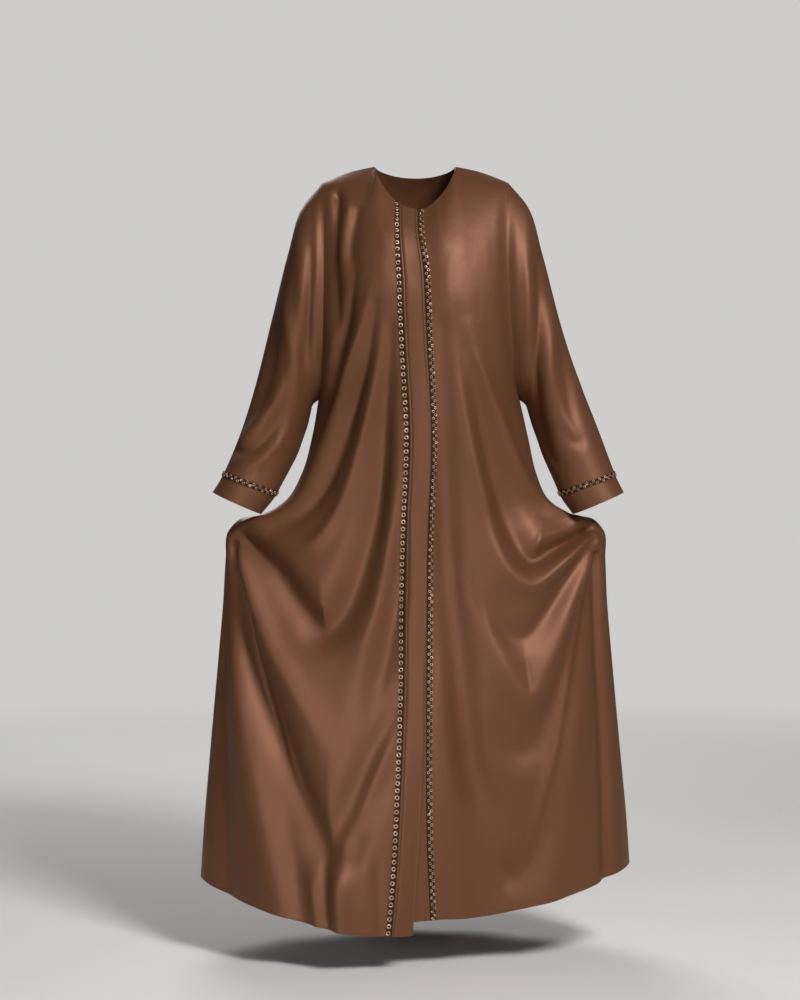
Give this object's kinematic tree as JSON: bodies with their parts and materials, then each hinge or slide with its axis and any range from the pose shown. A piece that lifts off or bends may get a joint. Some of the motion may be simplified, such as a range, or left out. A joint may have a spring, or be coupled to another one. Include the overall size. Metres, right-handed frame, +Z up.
{
  "type": "abaya cloak",
  "caption": "Long open-fronted abaya cloak in brown satin, worn, with bead trim down the front and round the wrists and its skirt held out at both sides.",
  "frame": {"origin": "middle of the neck opening, level with the inner ends of the shoulder seams, where the wearer's neck and shoulders hold the garment", "axes": "+Z up along the wearer's body, -Y towards the front of the garment, +X towards the wearer's left"},
  "size_m": [0.796, 0.468, 1.3847],
  "materials": {
    "satin": "satin",
    "satin_band": "satin",
    "bead_trim": "polished"
  },
  "bodies": {
    "root": {"front_right": "satin", "front_left": "satin", "back": "satin", "sleeve_right": "satin", "sleeve_left": "satin", "cuff_right": "satin_band", "cuff_left": "satin_band", "placket": "satin_band", "trim_front_right": "bead_trim", "trim_front_left": "bead_trim", "trim_cuff_right": "bead_trim", "trim_cuff_left": "bead_trim"}
  },
  "joints": []
}
